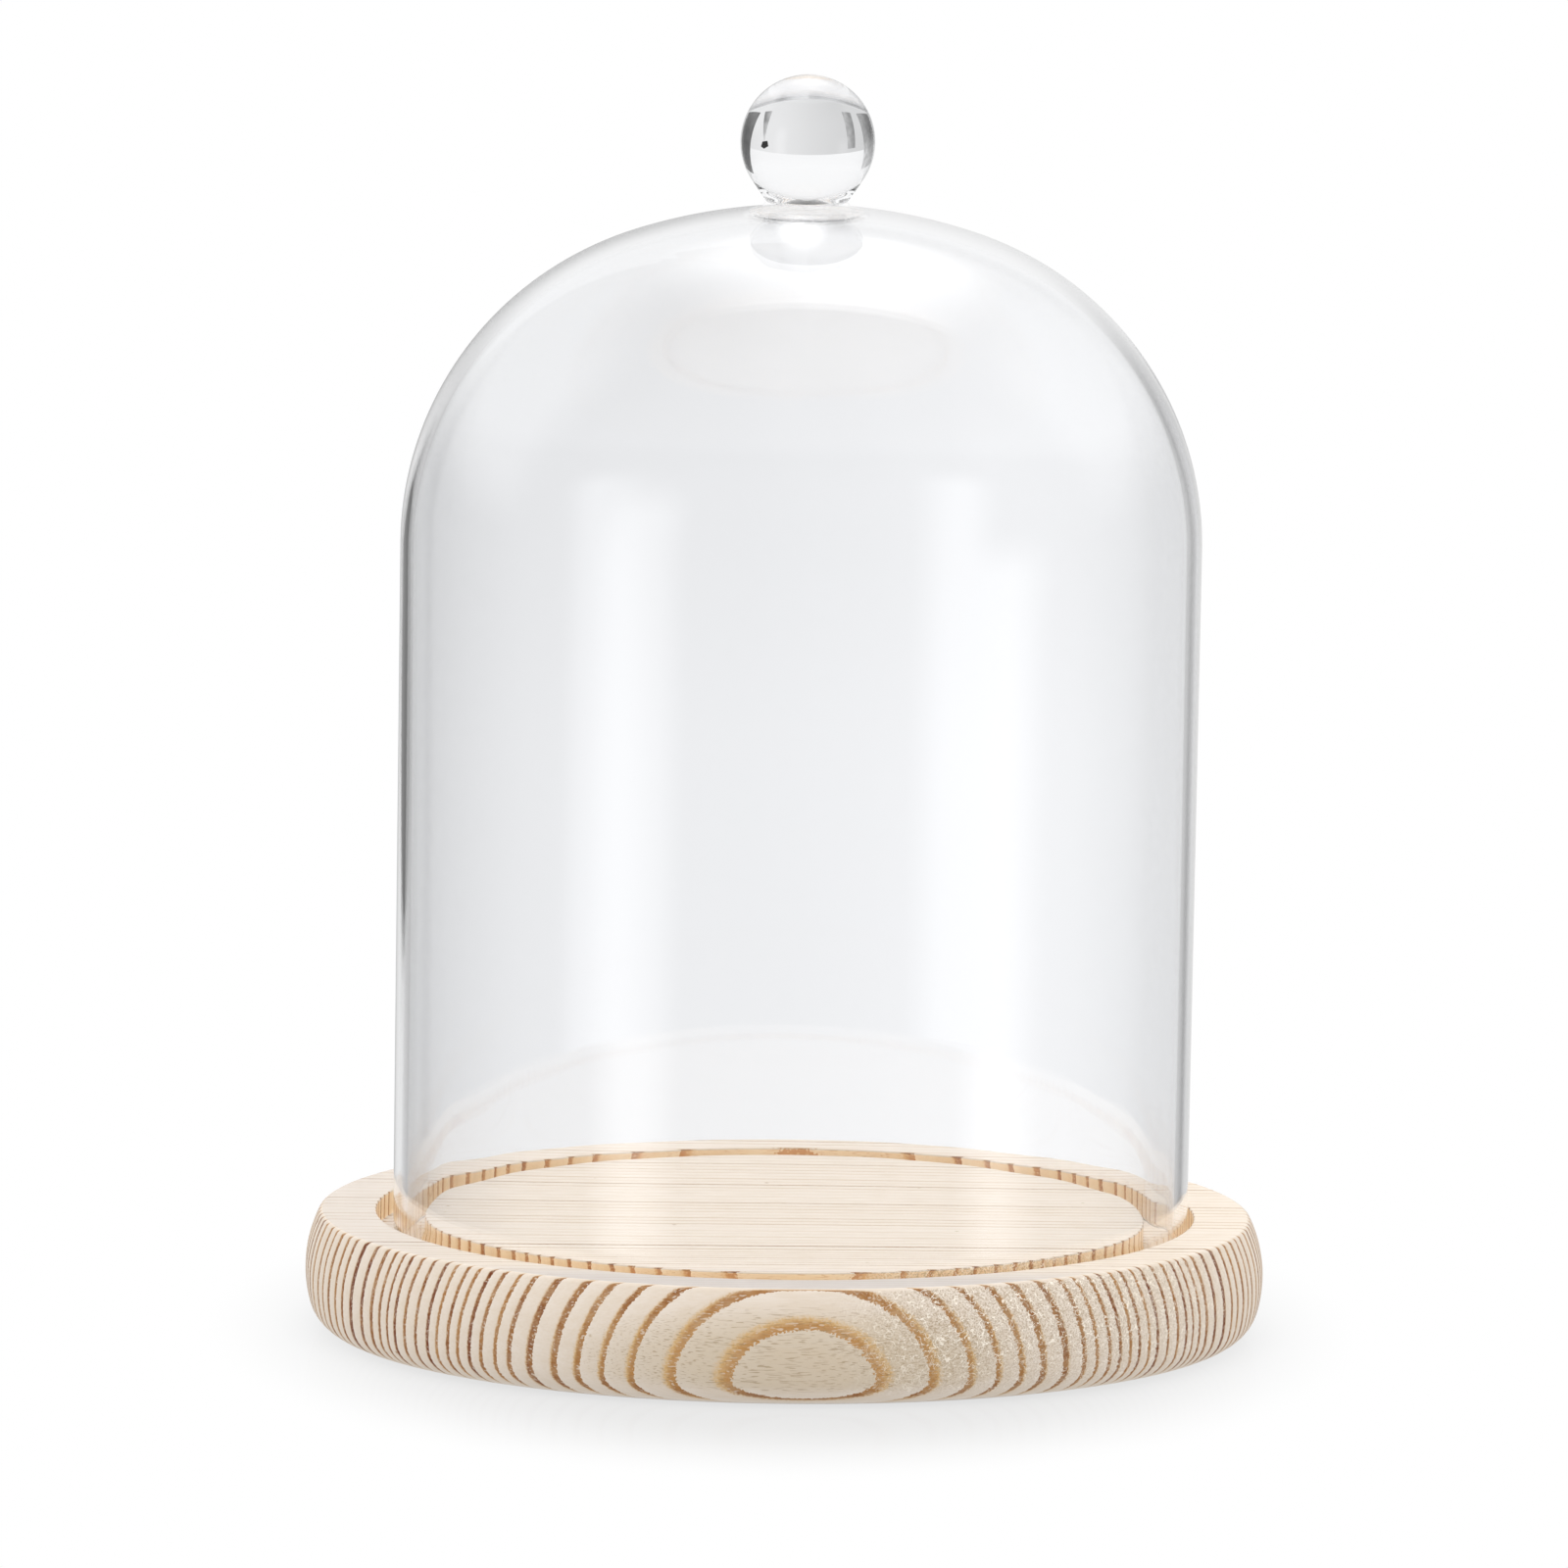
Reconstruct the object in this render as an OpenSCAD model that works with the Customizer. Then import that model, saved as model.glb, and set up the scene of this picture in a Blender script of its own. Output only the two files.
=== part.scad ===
// Bell jar dome for showing a small object: a round pine board with a routed groove,
// a blown glass dome whose rim stands in the groove, and a solid glass knob on its crown.
// +Z is up, and the origin is the centre of the board's underside.

/* [Base] */
// Diameter of the board across its belly
base_d = 160.5; // [156:0.5:176]
// Thickness of the board
base_h = 20; // [19:0.5:23]
// Height at which the belly is widest
belly_z = 10.3; // [9.5:0.1:11]
// Radius of the belly's arc
belly_r = 20.6; // [18:0.1:30]
// Rounding of the top edge
top_edge_r = 1.2; // [0.6:0.1:2.5]
// Rounding of the bottom edge
bottom_edge_r = 6.4; // [2:0.1:7]

/* [Groove] */
// Outer diameter of the groove
groove_od = 137; // [136:0.5:140]
// Width of the groove
groove_w = 8; // [6:0.5:9]
// Depth of the groove below the board's top
groove_depth = 4; // [3:0.5:6]

/* [Dome] */
// Outer diameter of the dome at its rim
rim_d = 133; // [131:0.5:134]
// Outer diameter of the dome where its shoulder begins
shoulder_d = 134; // [133:0.5:135]
// Thickness of the glass
wall = 2.5; // [2:0.1:3]
// Height of the wall from the rim to the shoulder
wall_h = 117.2; // [90:0.1:140]
// Radius of the shoulder's arc
shoulder_arc_r = 54.4; // [48:0.1:56]
// Radius of the crown's arc
crown_arc_r = 92.5; // [85:0.5:110]
// Diameter of the thick glass inside the crown, under the knob
thick_d = 19; // [14:0.5:24]
// How far the thick glass stands down inside the crown
thick_h = 0.9; // [0.8:0.1:3]

/* [Knob] */
// Diameter of the ball
ball_d = 22.5; // [20:0.5:26]
// Height of the ball's centre above the top of the crown
ball_rise = 11.3; // [11:0.1:12]
// Diameter of the neck, where the ball is fused to its foot
neck_d = 13.6; // [12:0.1:14]
// Height of the neck above the top of the crown
neck_rise = 1.3; // [1.2:0.1:1.6]
// Diameter of the foot on the crown
foot_d = 19.2; // [19:0.1:22]
// Thickness of the foot at its thin edge
foot_edge_h = 0.2; // [0.15:0.05:0.4]

/* [Hidden] */
$fn = 180;
far = 200;

pine = "burlywood";
clear_glass = [0.86, 0.91, 0.93, 0.35];

// Belly of the board: one convex arc that runs smoothly into both rounded edges.
belly_cx = base_d / 2 - belly_r;
top_edge_z = base_h - top_edge_r;
top_edge_cx = belly_cx + leg(belly_r - top_edge_r, top_edge_z - belly_z);
bottom_edge_cx = belly_cx + leg(belly_r - bottom_edge_r, belly_z - bottom_edge_r);
groove_or = groove_od / 2;
groove_ir = groove_or - groove_w;
groove_z = base_h - groove_depth;

// Dome: the wall, a shoulder arc and a crown arc that meet without a corner.
rim_r = rim_d / 2;
bead_r = wall / 2;
wall_z = groove_z + bead_r;
shoulder_z = groove_z + wall_h;
shoulder_cx = shoulder_d / 2 - shoulder_arc_r;
crown_cz = shoulder_z - leg(crown_arc_r - shoulder_arc_r, shoulder_cx);
crown_z = crown_cz + crown_arc_r;
crown_slope = atan2(shoulder_cx, shoulder_z - crown_cz);

// Thick glass under the knob: a shallow arc that springs from the inside of the crown.
thick_r = thick_d / 2;
inner_crown_r = crown_arc_r - wall;
thick_sag = thick_h - (inner_crown_r - leg(inner_crown_r, thick_r));
thick_arc_r = (thick_r * thick_r + thick_sag * thick_sag) / (2 * thick_sag);
thick_cz = crown_z - wall - thick_h + thick_arc_r;

// Knob: the neck's cone leaves the ball where it is tangent to it.
ball_r = ball_d / 2;
ball_z = crown_z + ball_rise;
neck_r = neck_d / 2;
neck_z = crown_z + neck_rise;
neck_drop = ball_z - neck_z;
tangent_angle = acos(ball_r / norm([neck_r, neck_drop])) - atan2(neck_drop, neck_r);
tangent_point = [ball_r * cos(tangent_angle), ball_z + ball_r * sin(tangent_angle)];

// Foot: a hollow arc that runs level out of the thin edge and up to the neck.
foot_r = foot_d / 2;
foot_edge_z = crown_cz + leg(crown_arc_r, foot_r) + foot_edge_h;
foot_rise = neck_z - foot_edge_z;
foot_arc_r = (pow(foot_r - neck_r, 2) + pow(foot_rise, 2)) / (2 * foot_rise);

// The other leg of a right triangle with this hypotenuse and leg.
function leg(hypotenuse, other) = sqrt(hypotenuse * hypotenuse - other * other);

// Turns a half profile, drawn with x as the radius and y as the height, about Z.
module turned() {
    rotate_extrude() intersection() {
        translate([0, -far]) square([far, 3 * far]);
        children();
    }
}

// Everything between two rays from one centre: each ray is drawn through a given point.
module wedge(centre, through_a, through_b) {
    reach_a = far / norm(through_a - centre);
    reach_b = far / norm(through_b - centre);
    polygon([
        centre,
        centre + reach_a * (through_a - centre),
        centre + reach_b * (through_b - centre)
    ]);
}

// Half profile of the solid board, with its convex belly and rounded edges.
module board_profile() {
    belly_centre = [belly_cx, belly_z];
    top_centre = [top_edge_cx, top_edge_z];
    bottom_centre = [bottom_edge_cx, bottom_edge_r];
    polygon([
        [0, 0],
        [bottom_edge_cx, 0],
        bottom_centre,
        top_centre,
        [top_edge_cx, base_h],
        [0, base_h]
    ]);
    translate(top_centre) circle(top_edge_r);
    translate(bottom_centre) circle(bottom_edge_r);
    intersection() {
        translate(belly_centre) circle(belly_r);
        wedge(belly_centre, bottom_centre, top_centre);
    }
}

// Half profile of the space inside a dome whose surface lies this far inside the glass's
// outer face.
module dome_profile(inset) {
    shoulder_centre = [shoulder_cx, shoulder_z];
    crown_centre = [0, crown_cz];
    polygon([
        [0, wall_z],
        [rim_r - inset, wall_z],
        [shoulder_d / 2 - inset, shoulder_z],
        [0, shoulder_z]
    ]);
    intersection() {
        translate(shoulder_centre) circle(shoulder_arc_r - inset);
        translate([0, shoulder_z]) square(far);
    }
    intersection() {
        translate(crown_centre) circle(crown_arc_r - inset);
        wedge(crown_centre, shoulder_centre, [0, crown_z]);
        translate([0, shoulder_z]) square(far);
    }
}

// The pine board with its groove.
module wood_base() {
    color(pine) turned() difference() {
        board_profile();
        translate([groove_ir, groove_z]) square([groove_w, base_h]);
    }
}

// The hollow glass dome, with its fire-polished rim and the thick glass under the knob.
module glass_dome() {
    color(clear_glass) turned() {
        difference() {
            dome_profile(0);
            dome_profile(wall);
        }
        translate([rim_r - bead_r, wall_z]) circle(bead_r);
        intersection() {
            translate([0, crown_cz]) circle(crown_arc_r);
            translate([0, thick_cz]) circle(thick_arc_r);
        }
    }
}

// The flared foot of the knob, fused to the outside of the crown.
module knob_foot() {
    color(clear_glass) turned() difference() {
        translate([0, crown_cz]) square([foot_r, neck_z - crown_cz]);
        translate([0, crown_cz]) circle(crown_arc_r);
        translate([foot_r, foot_edge_z + foot_arc_r]) circle(foot_arc_r);
    }
}

// The solid ball of the knob, which draws in to the neck.
module knob_ball() {
    color(clear_glass) turned() {
        intersection() {
            translate([0, ball_z]) circle(ball_r);
            translate([0, tangent_point[1]]) square(far);
        }
        polygon([
            [0, neck_z],
            [neck_r, neck_z],
            tangent_point,
            [0, tangent_point[1]]
        ]);
    }
}

wood_base();
glass_dome();
knob_foot();
knob_ball();
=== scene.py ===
"""Bell jar dome: pine base, blown glass dome and glass ball knob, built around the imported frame.

Only the floor and the sky light the object. Light Path nodes give each kind of ray its own
surroundings: what is seen directly or through the glass is a white room, and the first
reflection in the glass is a studio with tall lights, a panel overhead and dark sides.
"""

import math

import bpy
import numpy as np
from mathutils import Matrix, Vector


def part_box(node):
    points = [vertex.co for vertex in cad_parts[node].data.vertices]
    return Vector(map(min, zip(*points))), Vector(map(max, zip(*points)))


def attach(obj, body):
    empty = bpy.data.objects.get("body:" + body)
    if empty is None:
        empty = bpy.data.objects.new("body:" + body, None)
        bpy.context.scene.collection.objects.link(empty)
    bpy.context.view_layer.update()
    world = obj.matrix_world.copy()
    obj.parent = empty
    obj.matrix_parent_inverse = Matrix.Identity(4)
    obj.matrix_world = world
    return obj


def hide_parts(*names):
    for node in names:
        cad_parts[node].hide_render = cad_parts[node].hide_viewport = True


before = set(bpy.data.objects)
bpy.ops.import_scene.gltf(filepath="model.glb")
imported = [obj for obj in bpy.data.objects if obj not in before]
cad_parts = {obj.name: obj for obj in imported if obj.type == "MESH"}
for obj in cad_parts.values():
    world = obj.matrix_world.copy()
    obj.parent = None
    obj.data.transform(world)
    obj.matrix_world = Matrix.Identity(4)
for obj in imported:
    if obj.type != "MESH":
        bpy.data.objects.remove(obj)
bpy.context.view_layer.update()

MM = 0.001

# ---------------------------------------------------------------- sizes, from the frame
BASE_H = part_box("wood_base")[1].z
RIM_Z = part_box("glass_dome")[0].z
NECK_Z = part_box("knob_ball")[0].z
BALL_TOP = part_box("knob_ball")[1].z

# The profile's own sizes, which the frame's boxes can't tell
BASE_R = 80.25 * MM
BELLY_Z = 10.3 * MM
BELLY_R = 20.6 * MM
TOP_EDGE_R = 1.2 * MM
BOTTOM_EDGE_R = 6.4 * MM
GROOVE_OUTER_R = 68.5 * MM
GROOVE_INNER_R = 60.5 * MM
ARRIS = 0.3 * MM

WALL = 2.5 * MM
RIM_R = 66.5 * MM
SHOULDER_R = 67.0 * MM
SHOULDER_Z = RIM_Z + 117.2 * MM
SHOULDER_ARC_R = 54.4 * MM
CROWN_ARC_R = 92.5 * MM
THICK_R = 9.5 * MM
THICK_H = 0.9 * MM

BALL_R = 11.25 * MM
BALL_Z = BALL_TOP - BALL_R
NECK_R = 6.8 * MM
FOOT_R = 9.6 * MM
FOOT_EDGE_H = 0.2 * MM

# How the dome stands in its groove: off the middle, and leaning to the right by this slope
OFF_MIDDLE = 0.9 * MM
DOME_LEAN = 0.0043

# Fineness of the meshes
BOARD_SEGMENTS = 960
GLASS_SEGMENTS = 384
FUSED_RINGS = 8
CURVE_STEPS = 40
SAME_POINT = 0.01 * MM
ON_AXIS = 0.0001 * MM

# Handwork: from where to where the belly sets in, how far it is sanded unevenly and torn, and
# the same for the waves in the glass
BELLY_FROM, BELLY_TO = 73 * MM, 79 * MM
SANDED = 0.035 * MM
TORN = 0.05 * MM
WAVES_FROM, WAVES_TO = 50 * MM, 62 * MM
WAVY = 0.035 * MM


def leg(hypotenuse, other):
    """The other leg of a right triangle."""
    return math.sqrt(hypotenuse * hypotenuse - other * other)


# The shoulder's arc and the crown's arc meet without a corner
SHOULDER = (SHOULDER_R - SHOULDER_ARC_R, SHOULDER_Z)
CROWN_CENTRE_Z = SHOULDER_Z - leg(CROWN_ARC_R - SHOULDER_ARC_R, SHOULDER[0])
CROWN_TURN = math.degrees(math.atan2(SHOULDER_Z - CROWN_CENTRE_Z, SHOULDER[0]))


def arc(centre, radius, start, end, steps):
    """Points of a circle in the (radius, height) plane from one angle to another, in degrees."""
    angles = np.radians(np.linspace(start, end, steps + 1))
    return [(centre[0] + radius * math.cos(a), centre[1] + radius * math.sin(a)) for a in angles]


def line(start, end, steps):
    """Evenly spaced points of a straight stretch."""
    return [(start[0] + (end[0] - start[0]) * i / steps, start[1] + (end[1] - start[1]) * i / steps)
            for i in range(steps + 1)]


# ---------------------------------------------------------------- mesh tools
def joined(stretches):
    """The points of several stretches, each with the number of its material, without doubled points."""
    points, marks = [], []
    for stretch, mark in stretches:
        for point in stretch:
            if points and math.dist(points[-1], point) < SAME_POINT:
                continue
            points.append(point)
            marks.append(mark)
    return points, marks[1:]


def lathe(name, stretches, segments):
    """A closed turned mesh from a profile that starts and ends on the axis."""
    points, marks = joined(stretches)
    angles = np.linspace(0, 2 * np.pi, segments, endpoint=False)
    co, rings = [], []
    for r, z in points:
        if r < ON_AXIS:
            rings.append([len(co)])
            co.append((0.0, 0.0, z))
            continue
        rings.append(range(len(co), len(co) + segments))
        co.extend((r * math.cos(a), r * math.sin(a), z) for a in angles)
    faces, slots = [], []
    for low, high, mark in zip(rings[:-1], rings[1:], marks):
        for s in range(segments):
            t = (s + 1) % segments
            if len(low) == 1:
                faces.append((low[0], high[t], high[s]))
            elif len(high) == 1:
                faces.append((low[s], low[t], high[0]))
            else:
                faces.append((low[s], low[t], high[t], high[s]))
            slots.append(mark)
    mesh = bpy.data.meshes.new(name)
    mesh.from_pydata(co, [], faces)
    mesh.polygons.foreach_set("use_smooth", [True] * len(faces))
    mesh.polygons.foreach_set("material_index", slots)
    mesh.update()
    piece = bpy.data.objects.new(name, mesh)
    bpy.context.scene.collection.objects.link(piece)
    return piece


def points_of(piece):
    """The piece's points as rows of x, y and z."""
    flat = np.empty(len(piece.data.vertices) * 3)
    piece.data.vertices.foreach_get("co", flat)
    return flat.reshape(-1, 3)


def set_points(piece, points):
    """Put the piece's points where these rows say."""
    piece.data.vertices.foreach_set("co", points.ravel())
    piece.data.update()


def push_out(piece, points, distance):
    """Move each point away from the axis by its own distance."""
    scale = 1 + distance / np.maximum(np.hypot(points[:, 0], points[:, 1]), MM)
    points[:, :2] *= scale[:, None]
    set_points(piece, points)


def smooth_step(value, low, high):
    """A smooth step from 0 at low to 1 at high."""
    t = np.clip((value - low) / (high - low), 0, 1)
    return t * t * (3 - 2 * t)


# ---------------------------------------------------------------- shapes
# The board's material slots, and those of a piece of glass: its own faces, and those it shares
OUTSIDE, CUT = 0, 1
FREE, FUSED = 0, 1


def board_profile():
    """The board's outline from the middle of its underside, round the belly and through the groove."""
    belly = (BASE_R - BELLY_R, BELLY_Z)
    top_rise = BASE_H - TOP_EDGE_R - BELLY_Z
    top = (belly[0] + leg(BELLY_R - TOP_EDGE_R, top_rise), BASE_H - TOP_EDGE_R)
    low_drop = BELLY_Z - BOTTOM_EDGE_R
    low = (belly[0] + leg(BELLY_R - BOTTOM_EDGE_R, low_drop), BOTTOM_EDGE_R)
    low_angle = -math.degrees(math.atan2(low_drop, low[0] - belly[0]))
    top_angle = math.degrees(math.atan2(top_rise, top[0] - belly[0]))
    outer_lip = (GROOVE_OUTER_R + ARRIS, BASE_H - ARRIS)
    inner_lip = (GROOVE_INNER_R - ARRIS, BASE_H - ARRIS)
    floor_in, floor_out = (GROOVE_INNER_R, RIM_Z), (GROOVE_OUTER_R, RIM_Z)
    return [
        (line((0, 0), (low[0], 0), 6), OUTSIDE),
        (arc(low, BOTTOM_EDGE_R, -90, low_angle, 8), OUTSIDE),
        (arc(belly, BELLY_R, low_angle, top_angle, 30), OUTSIDE),
        (arc(top, TOP_EDGE_R, top_angle, 90, 5), OUTSIDE),
        (line((top[0], BASE_H), (outer_lip[0], BASE_H), 6), OUTSIDE),
        (arc(outer_lip, ARRIS, 90, 180, 3), OUTSIDE),
        (line((GROOVE_OUTER_R, outer_lip[1]), floor_out, 5), CUT),
        (line(floor_out, floor_in, 4), OUTSIDE),
        (line(floor_in, (GROOVE_INNER_R, inner_lip[1]), 5), CUT),
        (arc(inner_lip, ARRIS, 0, 90, 3), OUTSIDE),
        (line((inner_lip[0], BASE_H), (0, BASE_H), 10), OUTSIDE),
    ]


def make_board():
    """The turned board, its belly a little uneven from sanding and torn on the front right."""
    board = lathe("pine_board", board_profile(), BOARD_SEGMENTS)
    p = points_of(board)
    x, y, z = p.T
    radius, turn = np.hypot(x, y), np.arctan2(y, x)
    belly = smooth_step(radius, BELLY_FROM, BELLY_TO)
    uneven = np.sin(3 * turn + 0.7) + 0.6 * np.sin(8 * turn + 2.1) + 0.4 * np.sin(19 * turn + z / MM)
    torn = belly * smooth_step(x, 12 * MM, 26 * MM) * smooth_step(-x, -74 * MM, -48 * MM) * (y < 0)
    rng = np.random.default_rng(11)
    push_out(board, p, -SANDED * (1 + uneven / 2) * belly - torn * TORN * rng.random(len(p)))
    return board


def dome_curve(inset, steps):
    """The dome's curve from the rim up to the crown, this far inside its outer face."""
    wall = line((RIM_R - inset, RIM_Z + WALL / 2), (SHOULDER_R - inset, SHOULDER_Z), steps)
    bend = arc(SHOULDER, SHOULDER_ARC_R - inset, 0, CROWN_TURN, steps)
    crown = arc((0, CROWN_CENTRE_Z), CROWN_ARC_R - inset, CROWN_TURN, 90, steps)
    return wall + bend + crown


def crown_at(r):
    """The height of the dome's outer face at this radius."""
    return CROWN_CENTRE_Z + leg(CROWN_ARC_R, r)


def fused_patch():
    """The face that the foot and the dome share, from the edge of the foot in to the axis."""
    radii = [FOOT_R * (1 - i / FUSED_RINGS) for i in range(FUSED_RINGS + 1)]
    return [(r, crown_at(r)) for r in radii]


def stand(piece):
    """Blown by hand, the dome leans a little, and it stands a little off the middle of its groove."""
    p = points_of(piece)
    p[:, 0] += OFF_MIDDLE + DOME_LEAN * (p[:, 2] - RIM_Z)
    set_points(piece, p)
    return piece


def make_dome():
    """The blown dome: its inner face, the bead of the rim, its outer face and the face under the foot."""
    # The crown is thicker under the knob, where the foot was pressed on. The curves leave out the
    # points that come too near the corners there
    inner_r = CROWN_ARC_R - WALL
    sag = THICK_H - (inner_r - leg(inner_r, THICK_R))
    thick_arc_r = (THICK_R ** 2 + sag ** 2) / (2 * sag)
    thick_centre = (0, crown_at(0) - WALL - THICK_H + thick_arc_r)
    half = math.degrees(math.asin(THICK_R / thick_arc_r))
    thick = arc(thick_centre, thick_arc_r, -90, -90 + half, 16)
    inner = [p for p in dome_curve(WALL, CURVE_STEPS) if p[0] > THICK_R + 0.5 * MM]
    bead = arc((RIM_R - WALL / 2, RIM_Z + WALL / 2), WALL / 2, -180, 0, 12)
    patch = fused_patch()
    outer = [p for p in dome_curve(0, CURVE_STEPS) if p[0] > FOOT_R + 0.2 * MM]
    dome = lathe("dome_glass", [
        (thick + inner[::-1] + bead + outer + patch[:1], FREE),
        (patch, FUSED),
    ], GLASS_SEGMENTS)
    # Blown glass: the inner face runs a little wavy all the way up, and more finely at the sides
    p = points_of(dome)
    x, y, z = p.T
    radius, turn = np.hypot(x, y), np.arctan2(y, x)
    rings_inside = len(thick) + len(inner) - 1
    inside = np.arange(len(p)) < 1 + rings_inside * GLASS_SEGMENTS
    wave = np.sin(5 * turn + z / (37 * MM)) + 0.7 * np.sin(11 * turn + 1.3) + 0.5 * np.sin(23 * turn + 0.4)
    wave += 0.12 * np.sin(45 * turn + 2.1) * np.abs(np.cos(turn)) ** 8
    push_out(dome, p, wave * inside * smooth_step(radius, WAVES_FROM, WAVES_TO) * WAVY)
    return dome


def make_foot():
    """A low hollow flare from the thin edge up to the neck."""
    edge_z = crown_at(FOOT_R) + FOOT_EDGE_H
    rise = NECK_Z - edge_z
    flare_r = ((FOOT_R - NECK_R) ** 2 + rise ** 2) / (2 * rise)
    turn = math.degrees(math.asin((FOOT_R - NECK_R) / flare_r))
    return lathe("foot_glass", [
        (fused_patch()[::-1], FUSED),
        (arc((FOOT_R, edge_z + flare_r), flare_r, -90, -90 - turn, 12), FREE),
        (line((NECK_R, NECK_Z), (0, NECK_Z), 4), FUSED),
    ], GLASS_SEGMENTS)


def make_ball():
    """The solid ball and its neck, which runs straight from the foot to touch the ball."""
    drop = BALL_Z - NECK_Z
    tangent = math.acos(BALL_R / math.hypot(NECK_R, drop)) - math.atan2(drop, NECK_R)
    start = (BALL_R * math.cos(tangent), BALL_Z + BALL_R * math.sin(tangent))
    return lathe("ball_glass", [
        (line((0, NECK_Z), (NECK_R, NECK_Z), 4), FUSED),
        (line((NECK_R, NECK_Z), start, 8), FREE),
        (arc((0, BALL_Z), BALL_R, math.degrees(tangent), 90, 60), FREE),
    ], GLASS_SEGMENTS)


# ---------------------------------------------------------------- node tools
def paint(red, green, blue):
    """A linear colour from an 8-bit sRGB one."""
    linear = [c / 3294.6 if c < 10.3 else ((c / 255 + 0.055) / 1.055) ** 2.4 for c in (red, green, blue)]
    return (*linear, 1.0)


class Graph:
    """Short ways to add nodes to one node tree."""

    def __init__(self, owner):
        owner.use_nodes = True
        self.tree = owner.node_tree
        self.tree.nodes.clear()

    def node(self, kind, **settings):
        made = self.tree.nodes.new(kind)
        for key, value in settings.items():
            setattr(made, key, value)
        return made

    def join(self, value, socket):
        if isinstance(value, bpy.types.NodeSocket):
            self.tree.links.new(value, socket)
        else:
            socket.default_value = value

    def math(self, operation, *values, clamp=False):
        made = self.node("ShaderNodeMath", operation=operation, use_clamp=clamp)
        for value, socket in zip(values, made.inputs):
            self.join(value, socket)
        return made.outputs[0]

    def product(self, first, *others):
        made = first
        for value in others:
            made = self.math("MULTIPLY", made, value)
        return made

    def vector(self, operation, *values, scale=None):
        made = self.node("ShaderNodeVectorMath", operation=operation)
        for value, socket in zip(values, made.inputs):
            self.join(value, socket)
        if scale is not None:
            self.join(scale, made.inputs["Scale"])
        return made.outputs["Value" if operation in ("DOT_PRODUCT", "LENGTH") else "Vector"]

    def split(self, vector):
        """The x, y and z of a vector."""
        made = self.node("ShaderNodeSeparateXYZ")
        self.join(vector, made.inputs[0])
        return made.outputs

    def channels(self, colour):
        """The three channels of a colour, here three random numbers."""
        made = self.node("ShaderNodeSeparateColor")
        self.join(colour, made.inputs[0])
        return made.outputs

    def ramp(self, value, low, high, start=0.0, end=1.0):
        """A smooth step in value, from start at low to end at high."""
        made = self.node("ShaderNodeMapRange", interpolation_type="SMOOTHSTEP")
        for socket, given in zip(made.inputs, (value, low, high, start, end)):
            self.join(given, socket)
        return made.outputs[0]

    def noise(self, vector, scale, detail=2.0, output="Fac"):
        made = self.node("ShaderNodeTexNoise")
        self.join(vector, made.inputs["Vector"])
        made.inputs["Scale"].default_value = scale
        made.inputs["Detail"].default_value = detail
        return made.outputs[output]

    def grain(self, place, stretch, scale, detail):
        """Noise stretched by its own amount along each axis."""
        return self.noise(self.vector("MULTIPLY", place, stretch), scale, detail)

    def mix(self, factor, first, second):
        made = self.node("ShaderNodeMix", data_type="RGBA")
        for name, value in (("Factor_Float", factor), ("A_Color", first), ("B_Color", second)):
            self.join(value, next(s for s in made.inputs if s.identifier == name))
        return next(s for s in made.outputs if s.identifier == "Result_Color")

    def curve(self, value, spots):
        """A curve from 0 to 1 through straight stretches between the given spots."""
        made = self.node("ShaderNodeFloatCurve")
        points = made.mapping.curves[0].points
        points[0].location, points[-1].location = spots[0], spots[-1]
        for spot in spots[1:-1]:
            points.new(*spot)
        for point in points:
            point.handle_type = "VECTOR"
        made.mapping.update()
        self.join(value, made.inputs["Value"])
        return made.outputs[0]

    def light_path(self):
        return self.node("ShaderNodeLightPath").outputs

    def clear(self):
        return self.node("ShaderNodeBsdfTransparent").outputs[0]

    def glow(self, strength):
        made = self.node("ShaderNodeEmission")
        self.join(strength, made.inputs["Strength"])
        return made.outputs[0]

    def blend(self, factor, first, second):
        made = self.node("ShaderNodeMixShader")
        for value, socket in zip((factor, first, second), made.inputs):
            self.join(value, socket)
        return made.outputs[0]

    def finish(self, shader, output="ShaderNodeOutputMaterial"):
        self.join(shader, self.node(output).inputs["Surface"])


def new_material(name):
    """An empty material, and the graph of its nodes."""
    material = bpy.data.materials.new(name)
    return material, Graph(material)


# ---------------------------------------------------------------- wood
# Lengths in the wood's nodes are in millimetres, and so the scale of a noise is per millimetre

# The board was sawn near the bark, so its rings lie behind the front. From the belly up or down
# they lean, bend and, low down, flare, and along the board they slant, less so further in
LEAN = -0.136
BEND = 0.0139
FLARE = 0.08
FLARE_FROM = 2.5
SLANT = 0.043
SLANT_LOSS = 0.0005
GROWTH = Vector((SLANT, -1.0, LEAN)).normalized()
# How deep behind the front each ring lies, and how dark its latewood is
RINGS = (
    (0.42, 0.5), (2.4, 0.38), (4.6, 0.5), (6.55, 0.52), (8.45, 0.42), (10.45, 0.52), (12.9, 0.6), (15.3, 0.5),
    (17.05, 0.33), (18.9, 0.46), (20.55, 0.78), (22.3, 0.34), (23.9, 0.66), (25.8, 0.3), (27.45, 0.92),
    (29.7, 0.68), (31.95, 0.5), (34.1, 0.76), (35.95, 0.6), (37.8, 0.52), (39.9, 0.54), (42.75, 0.78),
    (46.1, 1.0), (49.45, 0.52), (52.2, 0.4), (55.2, 0.54), (58.4, 0.38), (61.25, 0.44), (65.1, 0.25),
)
LAST_DEPTH = RINGS[-1][0]
FIRST_COUNT = 0.4
# Behind the last of them the rings go on with an even spacing, each as dark as chance has it
INNER_STEP = 3.1
INNER_DARK = 0.7

# Where the top begins, by how far a face turns upwards
TURNS_UP, IS_TOP = 0.8, 0.98
# Painted light: faces that turn upwards go towards this white, as lit from overhead
TOP_LIGHT_WHITE = paint(232, 223, 212)
FLECK_BROWN = paint(140, 96, 60)
FLECK_GREEN = paint(168, 160, 104)
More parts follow.
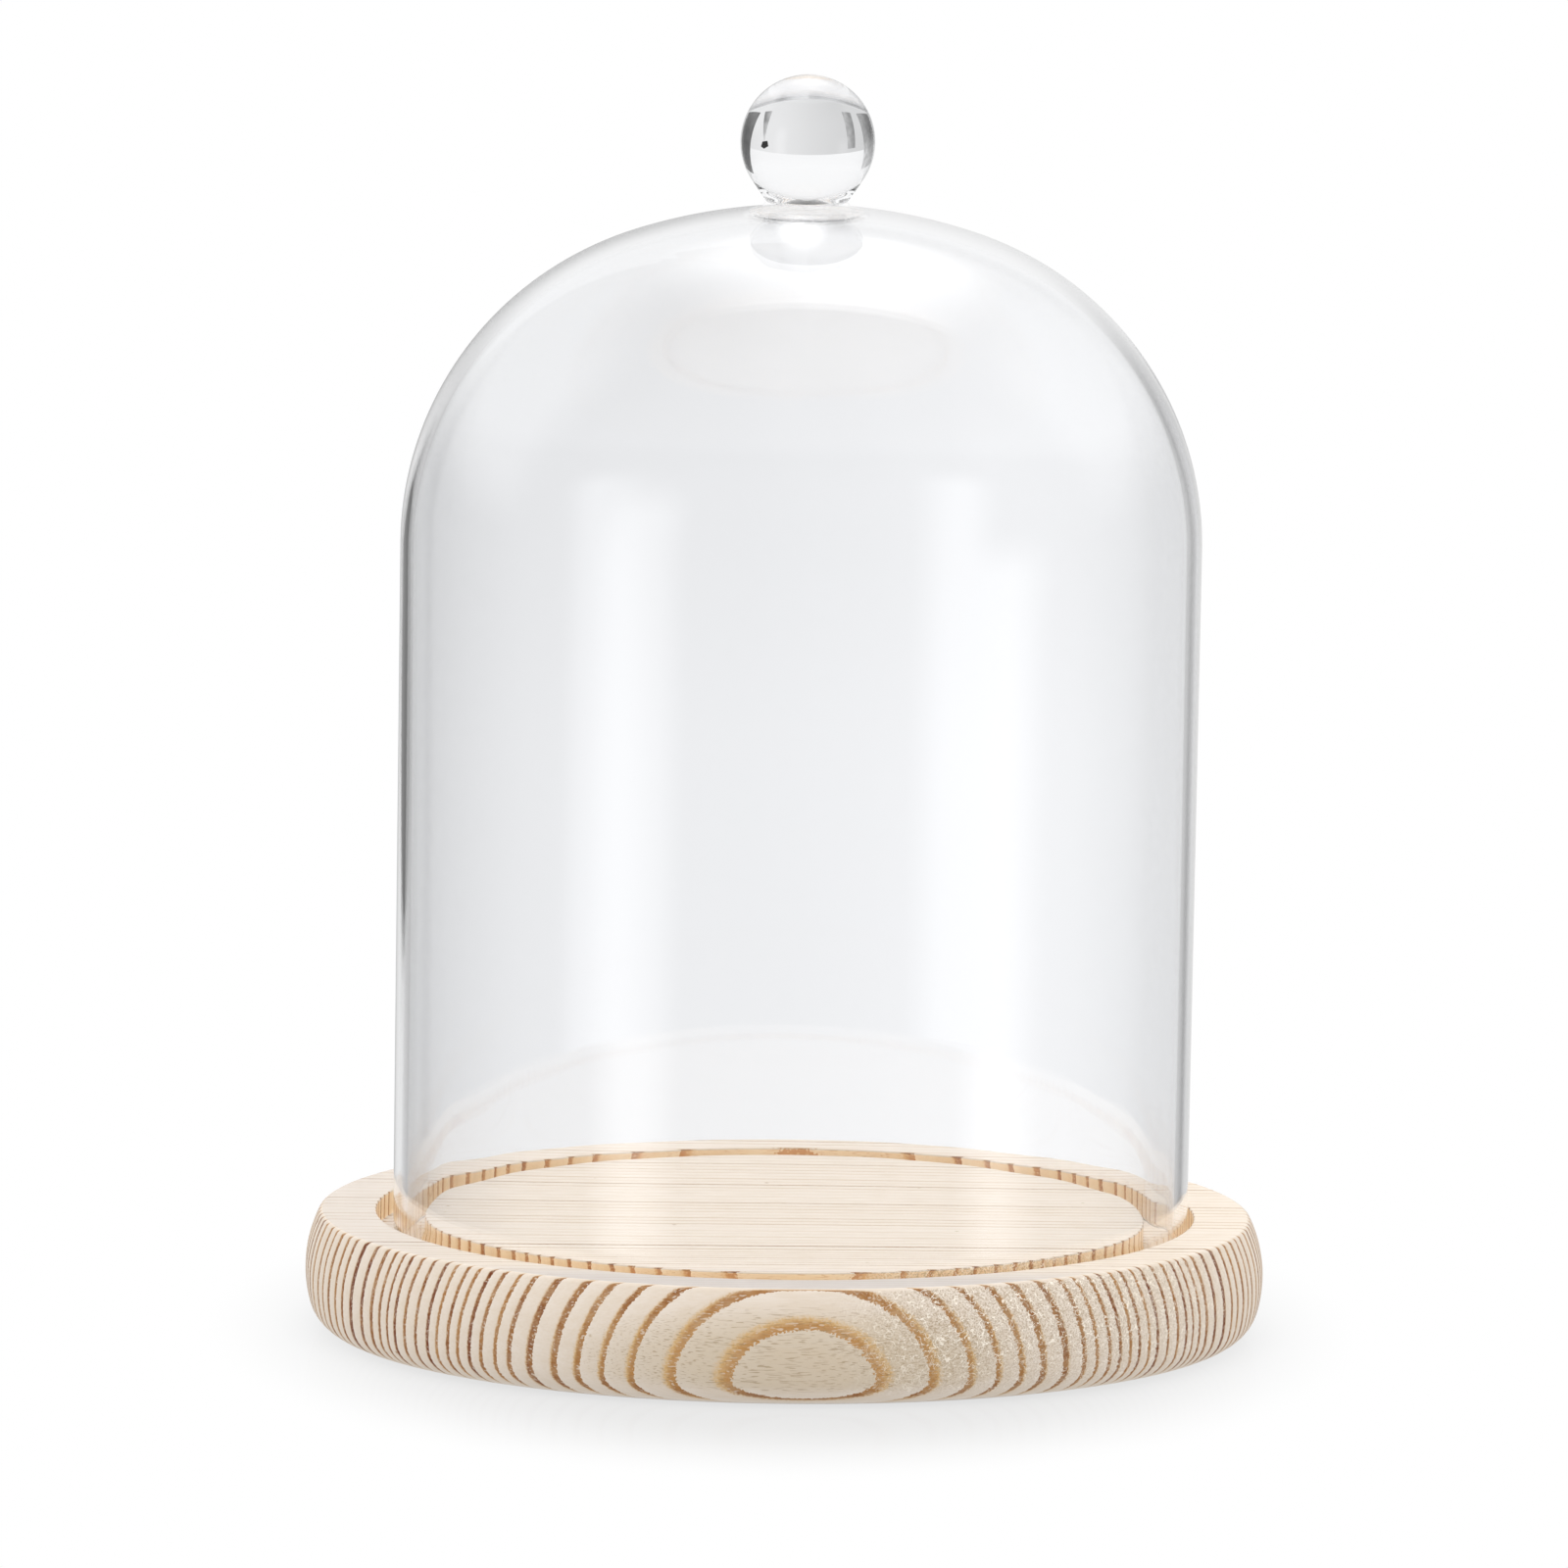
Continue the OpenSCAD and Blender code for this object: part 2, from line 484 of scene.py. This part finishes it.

# Each look: at what age the latewood begins, how much of it shows on top (there fainter, as painted
# light), how far the front and the top go towards their own colours (the top's whiter one is painted
# light from overhead), and the colours
PINE = {
    "begins": 0.52, "late_on_top": 0.34, "front_tint": 0.5, "top_light": 0.45,
    "early_new": paint(216, 205, 193), "early_old": paint(208, 194, 178), "front": paint(184, 168, 141),
    "gold": paint(198, 163, 112), "soft": paint(174, 128, 74), "hard": paint(104, 44, 12),
    "fibre": paint(196, 178, 153), "resin": paint(136, 112, 80), "pit": paint(142, 118, 86),
    # The last colour, a grey, is painted shade on the top's front and left
    "curl": paint(252, 244, 230), "painted_top_shade": paint(178, 174, 174),
}
CUT_PINE = {
    "begins": 0.6, "late_on_top": 1.0, "front_tint": 0.0, "top_light": 0.0,
    "early_new": paint(236, 215, 182), "early_old": paint(226, 198, 157), "front": paint(226, 198, 157),
    "gold": paint(210, 164, 112), "soft": paint(190, 132, 80), "hard": paint(150, 92, 50),
    "fibre": paint(222, 184, 140), "resin": paint(196, 150, 104), "pit": paint(150, 126, 94),
    # The last colour, a grey, is painted shade on the top's front and left
    "curl": paint(246, 236, 220), "painted_top_shade": paint(190, 186, 184),
}


def ring_depth(g, place, shaken):
    """How deep behind the front the ring through a point lies, measured at the height of the belly."""
    x, y, z = g.split(g.vector("ADD", place, shaken))
    wander = g.math("SUBTRACT", g.grain(place, (0.12, 1.0, 1.0), 0.06, 1.0), 0.5)
    height = g.math("SUBTRACT", z, BELLY_Z / MM)
    bent = g.math("MULTIPLY", g.math("MULTIPLY_ADD", height, BEND, LEAN), height)
    low = g.math("MAXIMUM", g.math("SUBTRACT", FLARE_FROM, z), 0.0)
    bent = g.math("MULTIPLY_ADD", g.math("MULTIPLY", low, low), FLARE, bent)
    bent = g.math("MULTIPLY_ADD", wander, 0.3, bent)
    depth = g.math("SUBTRACT", g.math("ADD", y, BASE_R / MM), bent)
    slant = g.math("MULTIPLY", g.math("MULTIPLY_ADD", depth, -SLANT_LOSS, SLANT), x)
    return g.math("SUBTRACT", depth, slant)


def grown_rings(g, place, shaken):
    """Age within the ring from 0 to 1, each ring's darkness, and a random number of its own."""
    total = len(RINGS)
    depth = ring_depth(g, place, shaken)
    spots = [(0.0, FIRST_COUNT / total)]
    spots += [(deep / LAST_DEPTH, (i + 1) / total) for i, (deep, dark) in enumerate(RINGS)]
    near = g.curve(g.math("DIVIDE", depth, LAST_DEPTH, clamp=True), spots)
    inner = g.math("DIVIDE", g.math("MAXIMUM", g.math("SUBTRACT", depth, LAST_DEPTH), 0.0), INNER_STEP)
    count = g.math("MULTIPLY_ADD", near, total, inner)

    number = g.math("FLOOR", count)
    chance = g.node("ShaderNodeTexWhiteNoise", noise_dimensions="1D")
    g.join(number, chance.inputs["W"])
    first, second = g.channels(chance.outputs["Color"])[:2]
    spots = [(0.0, RINGS[0][1])] + [((i + 1) / total, dark) for i, (deep, dark) in enumerate(RINGS)]
    dark = g.curve(g.math("DIVIDE", number, total, clamp=True), spots)
    is_inner = g.math("GREATER_THAN", number, total + 0.5)
    dark = g.math("MULTIPLY_ADD", g.math("MULTIPLY", is_inner, first), INNER_DARK, dark)
    return g.math("SUBTRACT", 1.0, g.math("FRACT", count)), dark, second


def torn_patch(g, place, faces_up):
    """Where the grain is torn: on the front right of the belly, where the cutter met the rings rising."""
    x, y, z = g.split(place)
    patch = g.product(g.ramp(x, 6.0, 26.0), g.ramp(x, 84.0, 46.0, 0.3, 1.0), g.ramp(y, -12.0, -50.0))
    return g.product(patch, g.ramp(faces_up, 0.8, 0.5), g.ramp(z, 2.0, 12.0, 0.45, 1.0))


def ring_colour(g, look, place, torn, faces_bark, faces_up):
    """Each ring goes from cream through gold to brown, and ends sharply. Also gives how late it is."""
    shake = g.vector("SUBTRACT", g.noise(place, 2.3, 1.0, output="Color"), (0.5, 0.5, 0.5))
    shake = g.vector("SCALE", shake, scale=g.math("MULTIPLY_ADD", torn, 0.3, 0.28))
    age, dark, ring_random = grown_rings(g, place, shake)
    begins = g.math("MULTIPLY_ADD", ring_random, 0.14, look["begins"])
    # Painted light: on faces that turn upwards the latewood is fainter, as washed out by light from overhead
    on_top = g.math("MULTIPLY", g.math("MULTIPLY_ADD", dark, 1.1, 0.05), look["late_on_top"])
    late = g.math("MULTIPLY", g.ramp(age, begins, 1.0), g.ramp(faces_up, 0.5, 0.95, 1.0, on_top))

    early = g.mix(age, look["early_new"], look["early_old"])
    early = g.mix(g.ramp(faces_bark, 0.86, 0.985, 0.0, look["front_tint"]), early, look["front"])
    # Painted light: faces that turn upwards are painted whiter, as lit from overhead
    early = g.mix(g.ramp(faces_up, TURNS_UP, IS_TOP, 0.0, look["top_light"]), early, TOP_LIGHT_WHITE)
    gold = g.mix(g.ramp(late, 0.0, 0.5), early, look["gold"])

    uneven = g.grain(place, (1.0, 1.0, 0.6), 0.7, 2.0)
    hard = g.math("MULTIPLY", dark, g.ramp(uneven, 0.3, 0.65, 0.75, 1.35))
    hard = g.math("MULTIPLY", hard, g.ramp(faces_bark, 1.0, 0.8), clamp=True)
    brown = g.mix(hard, look["soft"], look["hard"])
    side = g.ramp(faces_bark, 0.97, 0.8)
    brown_from = g.math("MULTIPLY_ADD", side, -0.2, 0.32)
    brown_full = g.math("MULTIPLY_ADD", side, -0.42, 0.92)
    return g.mix(g.ramp(late, brown_from, brown_full), gold, brown), late


def with_grain(g, look, colour, place, faces_bark, late):
    """Fibres and blotches along the board, resin dashes and pale pores. Also gives the fibres alone."""
    fibre = g.grain(place, (0.07, 1.0, 1.0), 3.0, 3.0)
    colour = g.mix(g.ramp(fibre, 0.35, 0.7, 0.0, 0.2), colour, look["fibre"])
    blotch = g.grain(place, (0.3, 1.0, 1.0), 0.5, 2.0)
    colour = g.mix(g.ramp(blotch, 0.42, 0.68, 0.0, 0.16), colour, look["fibre"])
    resin = g.grain(place, (0.13, 1.0, 1.6), 4.2, 0.0)
    resin = g.product(g.ramp(resin, 0.62, 0.72, 0.0, 0.5), g.ramp(faces_bark, 0.85, 0.95))
    colour = g.mix(resin, colour, look["resin"])
    pores = g.grain(place, (0.3, 1.0, 1.0), 3.2, 0.0)
    pores = g.product(g.ramp(pores, 0.64, 0.70), late, 0.7)
    return g.mix(pores, colour, look["early_old"]), fibre


def with_flecks(g, colour, place):
    """Small flecks, brown to green, one here and there."""
    cells = g.node("ShaderNodeTexVoronoi", feature="F1")
    g.join(place, cells.inputs["Vector"])
    cells.inputs["Scale"].default_value = 0.13
    first, second = g.channels(cells.outputs["Color"])[:2]
    picked = g.math("GREATER_THAN", first, 0.55)
    fleck = g.product(g.ramp(cells.outputs["Distance"], 0.065, 0.02), picked, 0.75)
    return g.mix(fleck, colour, g.mix(second, FLECK_BROWN, FLECK_GREEN))


def curled_fibres(g, place, size, threshold):
    """Thin curled threads: where a slow noise crosses its middle, in broken lengths."""
    level = g.math("ABSOLUTE", g.math("SUBTRACT", g.noise(place, size, 1.0), 0.5))
    broken = g.noise(g.vector("ADD", place, (31.0, 17.0, 5.0)), size * 0.8, 1.0)
    return g.math("MULTIPLY", g.ramp(level, 0.03, 0.01), g.ramp(broken, threshold, threshold + 0.05))


def with_torn_grain(g, look, colour, place, torn):
    """Pits between short pale curls. Also gives how high the torn wood stands."""
    curls = g.grain(place, (0.8, 1.0, 1.0), 3.8, 2.0)
    colour = g.mix(g.product(g.ramp(curls, 0.54, 0.4), torn, 0.5), colour, look["pit"])
    threads = g.math("MAXIMUM", curled_fibres(g, place, 0.7, 0.5), curled_fibres(g, place, 1.3, 0.48))
    threads = g.math("MULTIPLY", threads, torn)
    colour = g.mix(g.math("MULTIPLY", threads, 0.7), colour, look["curl"])
    return colour, g.math("MULTIPLY_ADD", g.math("MULTIPLY", curls, torn), 1.6, threads)


def with_painted_top_shade(g, look, colour, place, faces_up):
    """Painted shade: the top is a little greyer along the front and the left."""
    x, y = g.split(place)[:2]
    painted_top_shade = g.math("MAXIMUM", g.ramp(y, -52.0, -70.0), g.ramp(x, -40.0, -72.0, 0.0, 0.55))
    painted_top_shade = g.math("MULTIPLY", painted_top_shade, g.ramp(faces_up, 0.9, IS_TOP, 0.0, 0.62))
    return g.mix(painted_top_shade, colour, look["painted_top_shade"])


def wood_material(name, look):
    """Pine in solid grain, with rings, fibres, resin dashes, flecks and a torn patch."""
    material, g = new_material(name)
    coord = g.node("ShaderNodeTexCoord")
    place = g.vector("SCALE", coord.outputs["Object"], scale=1 / MM)
    normal = coord.outputs["Normal"]
    faces_bark = g.math("ABSOLUTE", g.vector("DOT_PRODUCT", normal, tuple(GROWTH)))
    faces_up = g.math("ABSOLUTE", g.split(normal)["Z"])

    torn = torn_patch(g, place, faces_up)
    colour, late = ring_colour(g, look, place, torn, faces_bark, faces_up)
    colour, fibre = with_grain(g, look, colour, place, faces_bark, late)
    colour = with_flecks(g, colour, place)
    colour, relief = with_torn_grain(g, look, colour, place, torn)
    # Painted shade: the top greyer along its front and left
    colour = with_painted_top_shade(g, look, colour, place, faces_up)

    # The planed top is smoother than the turned side, and its fibres shine less unevenly
    height = g.math("MULTIPLY_ADD", fibre, 0.5, relief)
    bump = g.node("ShaderNodeBump")
    bump.inputs["Strength"].default_value = 0.6
    bump.inputs["Distance"].default_value = 0.08 * MM
    g.join(g.math("MULTIPLY", height, g.ramp(faces_up, TURNS_UP, IS_TOP, 1.0, 0.03)), bump.inputs["Height"])
    rough_fibres = g.ramp(faces_up, TURNS_UP, IS_TOP, 0.25, 0.02)
    shader = g.node("ShaderNodeBsdfPrincipled")
    g.join(colour, shader.inputs["Base Color"])
    g.join(g.math("MULTIPLY_ADD", fibre, rough_fibres, 0.6), shader.inputs["Roughness"])
    g.join(bump.outputs[0], shader.inputs["Normal"])
    shader.inputs["Specular IOR Level"].default_value = 0.15
    g.finish(shader.outputs[0])
    return material


# ---------------------------------------------------------------- glass
def glass_material():
    """Clear glass. Diffuse and shadow rays go straight through it, which keeps the wood free of noise."""
    material, g = new_material("clear_glass")
    glass = g.node("ShaderNodeBsdfPrincipled")
    glass.inputs["Base Color"].default_value = (0.985, 0.99, 1.0, 1)
    glass.inputs["Roughness"].default_value = 0.0
    glass.inputs["IOR"].default_value = 1.5
    glass.inputs["Transmission Weight"].default_value = 1.0
    clear, path = g.clear(), g.light_path()
    by_diffuse = g.blend(path["Is Diffuse Ray"], glass.outputs[0], clear)
    g.finish(g.blend(path["Is Shadow Ray"], by_diffuse, clear))
    return material


def melted_material():
    """The foot, melted into the crown and the ball, so that little more than its gloss shows."""
    material, g = new_material("melted_glass")
    glass = g.node("ShaderNodeBsdfPrincipled")
    glass.inputs["Base Color"].default_value = (0.93, 0.94, 0.95, 1)
    glass.inputs["Roughness"].default_value = 0.05
    glass.inputs["Alpha"].default_value = 0.25
    g.finish(glass.outputs[0])
    return material


def fused_material():
    """The foot's faces on the dome and on the ball, which those two pieces show themselves."""
    material, g = new_material("fused_face")
    g.finish(g.clear())
    return material


# ---------------------------------------------------------------- stage
# Half the side of the floor in metres, and how far it lies below the base
FLOOR_HALF = 40.0
FLOOR_GAP = 0.02 * MM
# The shade on the floor: from where to where it fades, how much narrower it is across, its
# brightness, how strongly the floor shines there, and how near the base darkens it further
SHADE_IN, SHADE_OUT = 85 * MM, 150 * MM
SHADE_NARROW = 1.52
SHADE = 0.84
SHEEN = 0.06
CONTACT = 12 * MM
# More than this many refractions mean that a ray has come through both walls of the dome, and
# this many that it has come through one wall or the solid ball
BOTH_WALLS = 2.5
ONE_WALL = 2.0
# Where the ball is when the dome stands in its groove, and how far from its middle its rays start
BALL_PLACE = (OFF_MIDDLE + DOME_LEAN * (BALL_Z - RIM_Z), 0.0, BALL_Z + FLOOR_GAP)
BALL_REACH = BALL_R + 1.5 * MM


def through_ball(g, path, place):
    """How the sweep looks through the solid ball: a painted shade, greyer to the left."""
    away = g.vector("LENGTH", g.vector("SUBTRACT", place, BALL_PLACE))
    solid = g.math("COMPARE", path["Transmission Depth"], ONE_WALL, 0.5)
    solid = g.math("MULTIPLY", solid, g.math("COMPARE", path["Ray Length"], away, BALL_REACH))
    x, y = g.split(place)[:2]
    aside = g.math("DIVIDE", x, g.math("MAXIMUM", y, 0.1))
    return g.math("MULTIPLY_ADD", solid, g.math("SUBTRACT", g.ramp(aside, 0.45, -0.45, 0.86, 0.7), 1.0), 1.0)


def through_dome(g, path, place):
    """How the sweep looks through both walls of the dome: brighter on the right, duller far behind."""
    x, y = g.split(place)[:2]
    slope = g.ramp(x, -75 * MM, 75 * MM, 0.93, 1.035)
    slope = g.math("MULTIPLY", slope, g.ramp(y, 0.6, 0.95, 1.0, 0.965))
    through = g.math("GREATER_THAN", path["Transmission Depth"], BOTH_WALLS)
    return g.math("MULTIPLY_ADD", through, g.math("SUBTRACT", slope, 1.0), 1.0)


def floor_material():
    """A white sweep with a soft shade and a faint sheen round the base. Reflections look past it."""
    material, g = new_material("floor")
    path = g.light_path()
    place = g.node("ShaderNodeTexCoord").outputs["Object"]
    radius = g.vector("LENGTH", g.vector("MULTIPLY", place, (SHADE_NARROW, 1.0, 0.0)))
    open_floor = g.ramp(radius, SHADE_IN, SHADE_OUT)
    contact = g.node("ShaderNodeAmbientOcclusion", samples=8)
    contact.inputs["Distance"].default_value = CONTACT
    strength = g.product(
        g.math("MULTIPLY_ADD", open_floor, 1 - SHADE, SHADE),
        g.ramp(contact.outputs["AO"], 0.0, 0.8, 0.9, 1.0),
        through_ball(g, path, place),
        through_dome(g, path, place),
        # For the wood the floor is a little brighter, which lights the underside of the belly
        g.math("MULTIPLY_ADD", path["Is Diffuse Ray"], 0.12, 1.0),
    )
    sheen = g.node("ShaderNodeBsdfGlossy")
    sheen.inputs["Roughness"].default_value = 0.12
    shines = g.math("MULTIPLY_ADD", open_floor, -SHEEN, SHEEN)
    lit = g.blend(shines, g.glow(strength), sheen.outputs[0])
    g.finish(g.blend(path["Glossy Depth"], lit, g.clear()))
    material.cycles.emission_sampling = "NONE"
    return material


def make_floor():
    """The floor, a hair below the base."""
    s = FLOOR_HALF
    mesh = bpy.data.meshes.new("floor")
    mesh.from_pydata([(-s, -s, 0), (s, -s, 0), (s, s, 0), (-s, s, 0)], [], [(0, 1, 2, 3)])
    mesh.materials.append(floor_material())
    floor = bpy.data.objects.new("floor", mesh)
    floor.location.z = -FLOOR_GAP
    bpy.context.scene.collection.objects.link(floor)


# Dark cards round the object. With the dome on its base, only the solid glass of the knob shows
# them. Each has its brightness on its near and far side, how much brighter its top is, and its
# corners by azimuth in degrees, from the viewer's side (0) round by the right, and by height in metres
CARDS = (
    (0.01, 0.16, 0.0, ((104, 0.0), (139, 0.0), (133, 0.2), (128, 0.36), (104, 0.36))),
    (0.02, 0.35, 0.4, ((-139, 0.0), (-108, 0.0), (-108, 0.31), (-134, 0.31))),
    (0.3, 0.5, 0.0, ((-156, 0.0), (-147, 0.0), (-148, 0.18), (-155, 0.18))),
    (0.22, 0.5, 0.2, ((145, 0.0), (153, 0.0), (151.5, 0.17))),
    (0.01, 0.01, 0.0, ((148, 0.178), (149.5, 0.155), (154, 0.15), (155, 0.172), (151, 0.186))),
)
CARD_DISTANCE = 0.4
CARD_STEP = 2 * MM
# A ray that has come further than this to a card hasn't come from the knob at rest
CARD_REACH = 0.448


def card_material(name, near, far, rise):
    """A dark patchy card, clear for reflected rays and for those from further away than the knob."""
    material, g = new_material(name)
    path = g.light_path()
    coord = g.node("ShaderNodeTexCoord")
    y, z = g.split(coord.outputs["Generated"])[1:]
    level = g.math("ADD", g.ramp(y, 0.15, 1.0, near, far), g.ramp(z, 0.3, 0.9, 0.0, rise))
    patchy = g.math("ADD", g.noise(coord.outputs["Object"], 30.0, 1.0), 0.5)
    from_afar = g.math("ADD", g.math("GREATER_THAN", path["Transmission Depth"], BOTH_WALLS),
                       g.math("GREATER_THAN", path["Ray Length"], CARD_REACH))
    looks_past = g.math("MAXIMUM", from_afar, path["Glossy Depth"], clamp=True)
    g.finish(g.blend(looks_past, g.glow(g.math("MULTIPLY", level, patchy)), g.clear()))
    return material


def make_cards():
    """The cards, each a little nearer than the one before, so that none lies in another."""
    for number, (near, far, rise, corners) in enumerate(CARDS):
        name = f"card_{number}"
        distance = CARD_DISTANCE - number * CARD_STEP
        turned = [(math.radians(azimuth), height) for azimuth, height in corners]
        co = [(distance * math.sin(a), -distance * math.cos(a), height) for a, height in turned]
        mesh = bpy.data.meshes.new(name)
        mesh.from_pydata(co, [], [tuple(range(len(co)))])
        mesh.materials.append(card_material(name, near, far, rise))
        card = bpy.data.objects.new(name, mesh)
        card.visible_camera = card.visible_diffuse = card.visible_glossy = card.visible_shadow = False
        bpy.context.scene.collection.objects.link(card)


# The studio as the glass reflects it: brightness by azimuth, from the viewer's side (0) round by
# the right. Heights in the sky are the z of the ray's direction
STUDIO = (
    (-180, 0.58), (-176, 0.50), (-172, 0.50), (-168, 0.56), (-164, 0.60), (-160, 0.54), (-156, 0.50),
    (-152, 0.43), (-148, 0.39), (-143, 0.27), (-125, 0.16), (-105, 0.20), (-85, 0.30), (-60, 0.36),
    (-30, 0.36), (0, 0.30), (35, 0.42), (61, 0.48), (85, 0.50), (105, 0.44), (126, 0.38), (140, 0.48),
    (150, 0.58), (154, 0.40), (158, 0.22), (163, 0.50), (170, 0.74), (180, 0.80),
)
# Each tall soft light: azimuth and half its width in degrees, strength, and height of its top
TALL_LIGHTS = ((-48, 16, 1.25, 0.42), (63, 17, 1.15, 0.07))
PANEL_STRENGTH = 1.5
PALE_WALL = 0.95
WHITE_TABLE = 0.72


def tall_light(g, level, z, azimuth, half, strength, top):
    """A light that is brightest in the middle of its width, and fades above its top and near the floor."""
    a = math.radians(azimuth)
    near = g.vector("DOT_PRODUCT", level, (math.sin(a), -math.cos(a), 0.0))
    edge = math.cos(math.radians(half))
    glow = g.math("DIVIDE", g.math("SUBTRACT", near, edge), 1 - edge, clamp=True)
    upper = g.ramp(z, top + 0.15, top - 0.15, 0.0, strength)
    return g.product(g.math("MULTIPLY", glow, glow), upper, g.ramp(z, -0.3, -0.17))


def overhead_panel(g, x, y, z):
    """A panel overhead and behind, with a crisp near edge."""
    up = g.math("MAXIMUM", z, 0.05)
    across = g.math("ABSOLUTE", g.math("SUBTRACT", g.math("DIVIDE", x, up), 0.1))
    along = g.math("DIVIDE", y, up)
    near_edge, far_edge = g.ramp(along, 0.33, 0.37), g.ramp(along, 2.2, 0.9)
    return g.product(g.ramp(across, 0.56, 0.0), near_edge, far_edge, g.ramp(z, 0.06, 0.15))


def studio_light(g, ray):
    """What the glass reflects: the sides, the tall lights, a pale wall, the panel and the white table."""
    x, y, z = g.split(ray)
    turn = g.math("ARCTAN2", x, g.math("MULTIPLY", y, -1.0))
    spots = [(azimuth / 360 + 0.5, brightness) for azimuth, brightness in STUDIO]
    studio = g.curve(g.math("MULTIPLY_ADD", turn, 1 / (2 * math.pi), 0.5), spots)
    level = g.vector("NORMALIZE", g.vector("MULTIPLY", ray, (1.0, 1.0, 0.0)))
    for light in TALL_LIGHTS:
        studio = g.math("ADD", tall_light(g, level, z, *light), studio)
    studio = g.math("MULTIPLY", studio, g.ramp(z, 0.5, 0.9, 1.0, 0.3))
    # The pale wall stands behind, above the dark sides
    behind = g.product(g.ramp(z, 0.02, 0.3), g.ramp(z, 0.95, 0.6), g.ramp(y, -0.1, 0.3, 0.0, 0.9))
    studio = g.math("MULTIPLY_ADD", behind, g.math("SUBTRACT", PALE_WALL, studio), studio)
    studio = g.math("MULTIPLY_ADD", overhead_panel(g, x, y, z), PANEL_STRENGTH, studio)
    return g.math("MAXIMUM", studio, g.ramp(z, -0.25, -0.45, 0.0, WHITE_TABLE))


def make_world():
    """A white room, brighter overhead for the wood, and the studio for first reflections."""
    world = bpy.data.worlds.new("studio")
    bpy.context.scene.world = world
    world.cycles.sampling_method = "NONE"
    g = Graph(world)
    path = g.light_path()
    ray = g.node("ShaderNodeTexCoord").outputs["Generated"]
    overhead = g.ramp(g.split(ray)["Z"], 0.1, 1.0, -0.03, 0.75)
    room = g.math("MULTIPLY_ADD", overhead, path["Is Diffuse Ray"], 1.0)
    reflected = g.math("COMPARE", path["Glossy Depth"], 1.0, 0.5)
    reflected = g.math("SUBTRACT", reflected, path["Is Diffuse Ray"], clamp=True)
    light = g.node("ShaderNodeBackground")
    light.inputs["Color"].default_value = (1, 1, 1, 1)
    difference = g.math("SUBTRACT", studio_light(g, ray), room)
    g.join(g.math("MULTIPLY_ADD", reflected, difference, room), light.inputs["Strength"])
    g.finish(light.outputs[0], "ShaderNodeOutputWorld")


# A long lens, a little above the rim of the base: lens and sensor in millimetres, distance in metres
LENS = 900
SENSOR = 36
DISTANCE = 6.557
ELEVATION = math.radians(8.75)
ROLL = math.radians(0.69)
AIM = Vector((-1.0, 0, 92.6)) * MM
CLIP = (0.1, 100)


def make_camera():
    """The photo's view: from the front, a little from above, and rolled a little."""
    forward = Vector((0, math.cos(ELEVATION), -math.sin(ELEVATION)))
    right = Vector((1, 0, 0))
    up = right.cross(forward)
    right_rolled = right * math.cos(ROLL) + up * math.sin(ROLL)
    up_rolled = up * math.cos(ROLL) - right * math.sin(ROLL)
    data = bpy.data.cameras.new("camera")
    data.lens = LENS
    data.sensor_width = SENSOR
    data.clip_start, data.clip_end = CLIP
    camera = bpy.data.objects.new("camera", data)
    bpy.context.scene.collection.objects.link(camera)
    pose = Matrix((right_rolled, up_rolled, -forward)).transposed().to_4x4()
    pose.translation = AIM - forward * DISTANCE
    camera.matrix_world = pose
    bpy.context.scene.camera = camera


def set_render():
    """Plain colours, and enough bounces for a ray to cross the ball and both walls of the dome."""
    scene = bpy.context.scene
    scene.view_settings.view_transform = "Standard"
    scene.cycles.use_denoising = True
    scene.cycles.max_bounces = 24
    scene.cycles.transmission_bounces = 24
    scene.cycles.glossy_bounces = 12
    scene.cycles.transparent_max_bounces = 16


def main():
    board = make_board()
    dome, foot, ball = stand(make_dome()), stand(make_foot()), stand(make_ball())
    pine, cut_pine = wood_material("pine", PINE), wood_material("pine_cut", CUT_PINE)
    glass, melted, fused = glass_material(), melted_material(), fused_material()
    # Each piece with its finish, its body, the CAD node it replaces and the materials of its slots
    for piece, finish, body, node, materials in (
        (board, "wood", "base", "wood_base", (pine, cut_pine)),
        (dome, "glass", "dome", "glass_dome", (glass, glass)),
        (foot, "glass", "dome", "knob_foot", (melted, fused)),
        (ball, "glass", "dome", "knob_ball", (glass, glass)),
    ):
        for material in materials:
            piece.data.materials.append(material)
        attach(piece, body)
        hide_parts(node)
    make_floor()
    make_cards()
    make_world()
    make_camera()
    set_render()


main()
